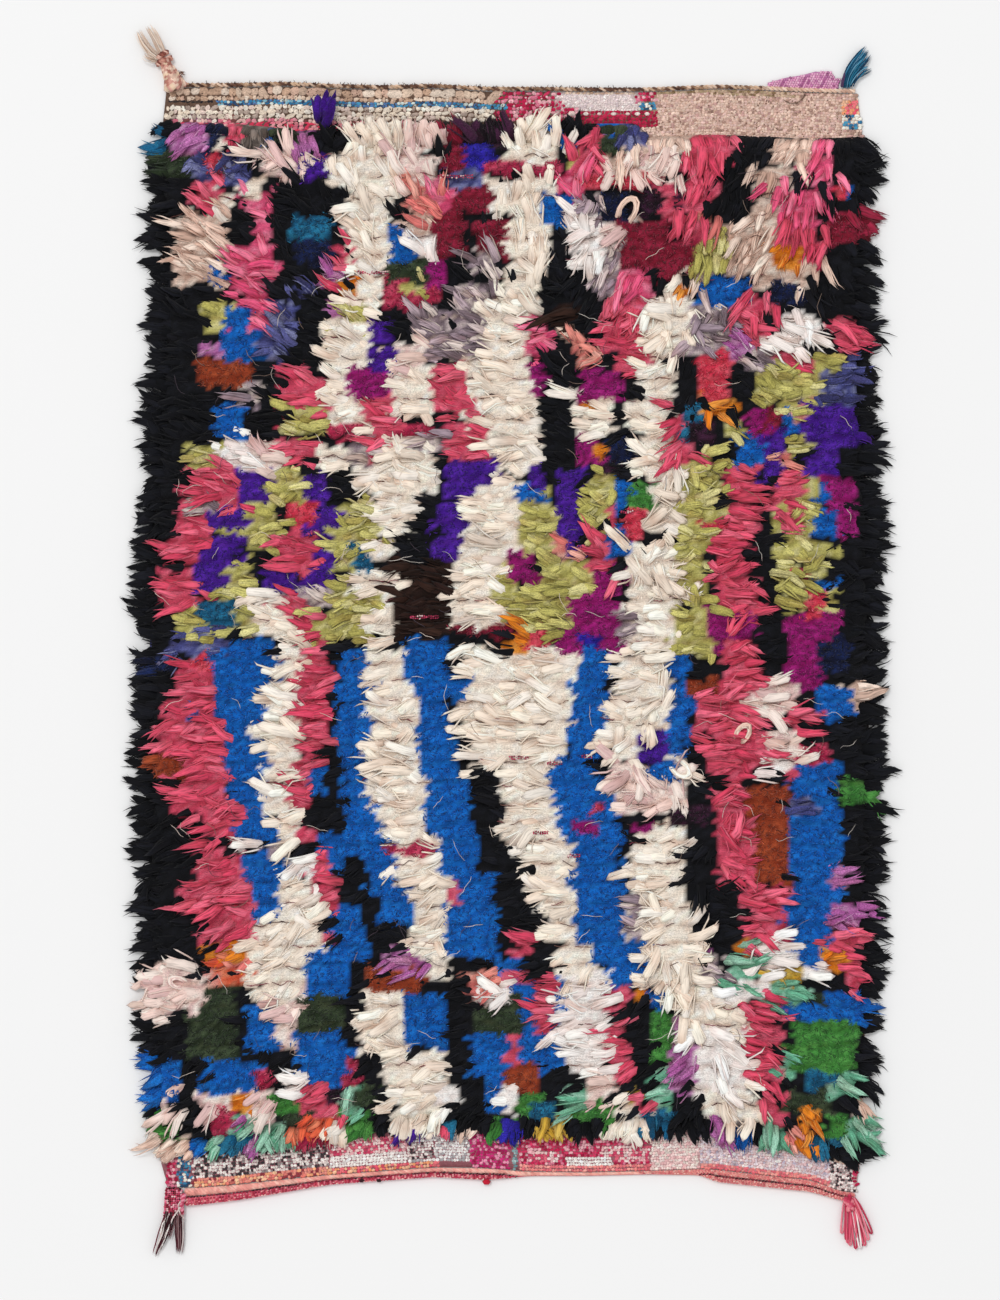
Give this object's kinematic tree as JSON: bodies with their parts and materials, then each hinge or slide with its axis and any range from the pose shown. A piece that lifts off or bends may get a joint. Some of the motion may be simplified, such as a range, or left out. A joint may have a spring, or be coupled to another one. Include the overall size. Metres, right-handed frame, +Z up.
{
  "type": "azilal rug",
  "caption": "Hand-knotted shag rug lying flat, with flat-woven ends, a twined and a bound end edge, corner tassels and a knitted flap.",
  "frame": {"origin": "middle of the woven cloth on the underside, on the floor", "axes": "+X across the rug, +Y along it towards the twined end, +Z up out of the pile"},
  "size_m": [1.0224, 1.6557, 0.0317],
  "materials": {
    "pile": "knotted yarn pile in many colours",
    "twined_yarn": "twined brown and beige yarn",
    "binding_yarn": "rolled pink knitted binding",
    "flap_knit": "lilac-pink knit",
    "tassel_beige": "plaited beige and pink yarn, frayed",
    "tassel_teal": "teal yarn, frayed",
    "tassel_dark": "pink tab with dark and white twisted cords",
    "tassel_pink": "looped pink twisted cords"
  },
  "bodies": {
    "root": {"rug": "pile", "twined_cord": "twined_yarn", "bound_edge": "binding_yarn", "knitted_flap": "flap_knit", "tassel_twined_left": "tassel_beige", "tassel_twined_right": "tassel_teal", "tassel_bound_left": "tassel_dark", "tassel_bound_right": "tassel_pink"}
  },
  "joints": []
}
